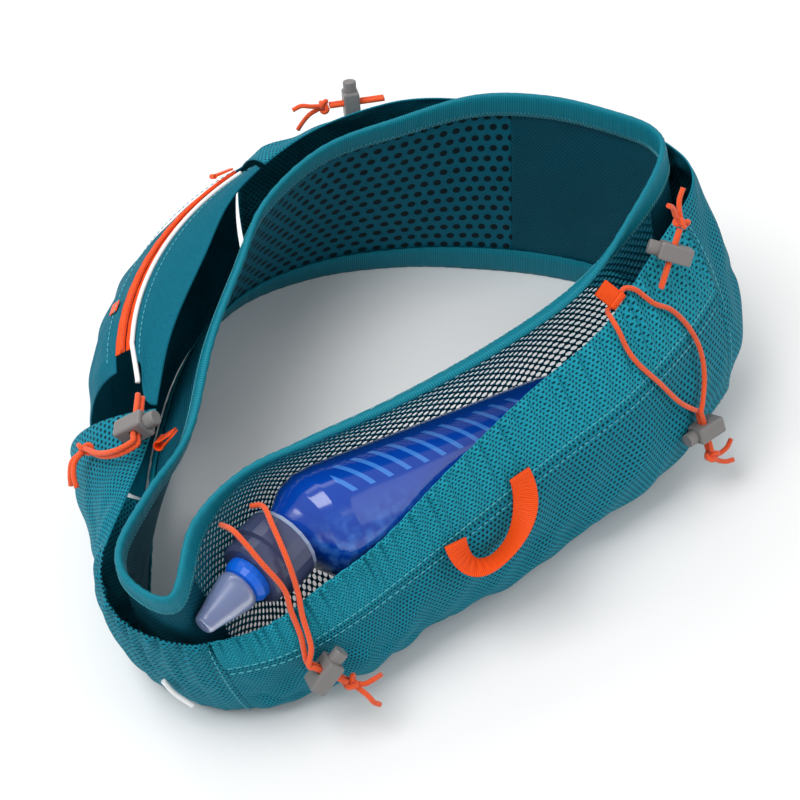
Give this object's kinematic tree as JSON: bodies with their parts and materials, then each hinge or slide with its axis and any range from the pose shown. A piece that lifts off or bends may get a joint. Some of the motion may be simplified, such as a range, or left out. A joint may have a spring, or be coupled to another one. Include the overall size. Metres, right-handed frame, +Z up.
{
  "type": "waist pack",
  "caption": "Pull-on running waist belt of stretch mesh with open pockets, a zip pocket, bungee cords with cord locks, and a soft flask.",
  "frame": {"origin": "middle of the waist opening, on the plane that the bottom band stands on", "axes": "+X along the back of the belt towards the right-hand pocket, +Y from the back with the flask to the front with the zip pocket, +Z up to the bound top edge"},
  "size_m": [0.4315, 0.3192, 0.174],
  "materials": {
    "stretch_mesh": "matt",
    "inner_knit": "matt",
    "open_netting": "matt",
    "folded_elastic": "satin",
    "zip_cover_cloth": "matt",
    "orange_webbing": "matt",
    "bungee_cord": "matt",
    "zip_coil": "satin",
    "reflective_piping": "satin",
    "lock_plastic": "satin",
    "spring_steel": "bright",
    "flask_film": "gloss, slightly see-through",
    "cap_plastic": "satin",
    "valve_plastic": "gloss",
    "bite_silicone": "translucent satin",
    "gasket_rubber": "matt"
  },
  "bodies": {
    "belt": {"back_net_panel": "open_netting", "bottom_band": "folded_elastic", "bungee_flask_knot": "bungee_cord", "bungee_flask_strand_1": "bungee_cord", "bungee_flask_strand_2": "bungee_cord", "bungee_front_knot": "bungee_cord", "bungee_front_strand_1": "bungee_cord", "bungee_front_strand_2": "bungee_cord", "bungee_left_knot": "bungee_cord", "bungee_left_strand_1": "bungee_cord", "bungee_left_strand_2": "bungee_cord", "bungee_right_knot": "bungee_cord", "bungee_right_strand_1": "bungee_cord", "bungee_right_strand_2": "bungee_cord", "bungee_side_knot": "bungee_cord", "bungee_side_strand_1": "bungee_cord", "bungee_side_strand_2": "bungee_cord", "cord_tab_left": "orange_webbing", "cord_tab_side": "orange_webbing", "end_knit_panel": "inner_knit", "end_piping": "reflective_piping", "end_pocket_panel": "stretch_mesh", "flask_pocket_hem": "stretch_mesh", "flask_pocket_panel": "stretch_mesh", "front_pocket_panel": "stretch_mesh", "front_vent_panel": "inner_knit", "left_net_panel": "open_netting", "left_side_panel": "stretch_mesh", "reflective_piping": "reflective_piping", "side_knit_panel": "inner_knit", "side_pocket_panel": "stretch_mesh", "top_binding": "folded_elastic", "zip_coil": "zip_coil", "zip_pocket_band": "zip_cover_cloth", "zip_pocket_cover": "zip_cover_cloth", "zip_tape_inner": "zip_coil", "zip_tape_outer": "zip_coil"},
    "lock_flask": {"lock_flask_body": "lock_plastic", "lock_flask_spring": "spring_steel"},
    "plunger_flask": {"lock_flask_plunger": "lock_plastic"},
    "lock_side": {"lock_side_body": "lock_plastic", "lock_side_spring": "spring_steel"},
    "plunger_side": {"lock_side_plunger": "lock_plastic"},
    "lock_left": {"lock_left_body": "lock_plastic", "lock_left_spring": "spring_steel"},
    "plunger_left": {"lock_left_plunger": "lock_plastic"},
    "lock_right": {"lock_right_body": "lock_plastic", "lock_right_spring": "spring_steel"},
    "plunger_right": {"lock_right_plunger": "lock_plastic"},
    "lock_front": {"lock_front_body": "lock_plastic", "lock_front_spring": "spring_steel"},
    "plunger_front": {"lock_front_plunger": "lock_plastic"},
    "slider": {"zip_slider": "zip_coil"},
    "puller": {"zip_puller": "zip_coil"},
    "flask": {"flask_body": "flask_film"},
    "gasket": {"cap_gasket": "gasket_rubber"},
    "cap": {"flask_cap": "cap_plastic"},
    "valve": {"valve_base": "valve_plastic", "bite_valve": "bite_silicone"},
    "loop": {"webbing_loop": "orange_webbing"}
  },
  "joints": [
    {"name": "flask_lock_slide", "type": "slide", "parent": "belt", "child": "lock_flask", "axis": [0.6052, -0.4008, -0.6878], "range_m": [-0.004, 0.003]},
    {"name": "flask_lock_press", "type": "slide", "parent": "lock_flask", "child": "plunger_flask", "axis": [-0.7507, 0, -0.6606], "range_m": [0, 0.0026], "stiffness_N_per_m": 300, "springref_m": -0.004, "deforming": ["lock_flask_spring"]},
    {"name": "side_lock_slide", "type": "slide", "parent": "belt", "child": "lock_side", "axis": [0, -0.4983, -0.867], "range_m": [0, 0.003]},
    {"name": "side_lock_press", "type": "slide", "parent": "lock_side", "child": "plunger_side", "axis": [1, 0, 0], "range_m": [0, 0.0026], "stiffness_N_per_m": 300, "springref_m": -0.004, "deforming": ["lock_side_spring"]},
    {"name": "left_lock_slide", "type": "slide", "parent": "belt", "child": "lock_left", "axis": [-0.6131, -0.7878, -0.0595], "range_m": [-0.003, 0.002]},
    {"name": "left_lock_press", "type": "slide", "parent": "lock_left", "child": "plunger_left", "axis": [-0.6092, 0.5194, -0.5993], "range_m": [0, 0.0026], "stiffness_N_per_m": 300, "springref_m": -0.004, "deforming": ["lock_left_spring"]},
    {"name": "right_lock_slide", "type": "slide", "parent": "belt", "child": "lock_right", "axis": [0.5413, 0.2582, 0.8002], "range_m": [-0.004, 0.003]},
    {"name": "right_lock_press", "type": "slide", "parent": "lock_right", "child": "plunger_right", "axis": [0.6584, -0.7221, -0.2124], "range_m": [0, 0.0026], "stiffness_N_per_m": 300, "springref_m": -0.004, "deforming": ["lock_right_spring"]},
    {"name": "front_lock_slide", "type": "slide", "parent": "belt", "child": "lock_front", "axis": [-0.8895, 0.4562, -0.0261], "range_m": [-0.004, 0.003]},
    {"name": "front_lock_press", "type": "slide", "parent": "lock_front", "child": "plunger_front", "axis": [-0.1003, -0.2507, -0.9628], "range_m": [0, 0.0026], "stiffness_N_per_m": 300, "springref_m": -0.004, "deforming": ["lock_front_spring"]},
    {"name": "zip_slide", "type": "hinge", "parent": "belt", "child": "slider", "pos_m": [0.028, -0.025, 0.11], "axis": [0, 0, 1], "range_deg": [0, 42]},
    {"name": "puller_swing", "type": "hinge", "parent": "slider", "child": "puller", "pos_m": [-0.01436, 0.15847, 0.11572], "axis": [0.1948, -0.8438, 0.5], "range_deg": [0, 100]},
    {"name": "flask_slide", "type": "slide", "parent": "belt", "child": "flask", "axis": [0.9833, -0.059, -0.1721], "range_m": [0, 0.008]},
    {"name": "cap_lift", "type": "slide", "parent": "flask", "child": "gasket", "axis": [-0.9629, -0.2696, -0.0096], "range_m": [0, 0.002]},
    {"name": "cap_turn", "type": "hinge", "parent": "gasket", "child": "cap", "pos_m": [-0.122, -0.067, 0.091], "axis": [-0.9629, -0.2696, -0.0096], "range_deg": [0, 180]},
    {"name": "valve_twist", "type": "hinge", "parent": "cap", "child": "valve", "pos_m": [-0.122, -0.067, 0.091], "axis": [-0.9629, -0.2696, -0.0096], "range_deg": [0, 90]},
    {"name": "loop_swing", "type": "hinge", "parent": "belt", "child": "loop", "pos_m": [-0.03015, -0.11075, 0.08585], "axis": [-0.9494, -0.1128, -0.2932], "range_deg": [0, 60]}
  ],
  "couplings": [
    {"joint": "cap_turn", "follows": "cap_lift", "rad_per_m": 1570}
  ]
}
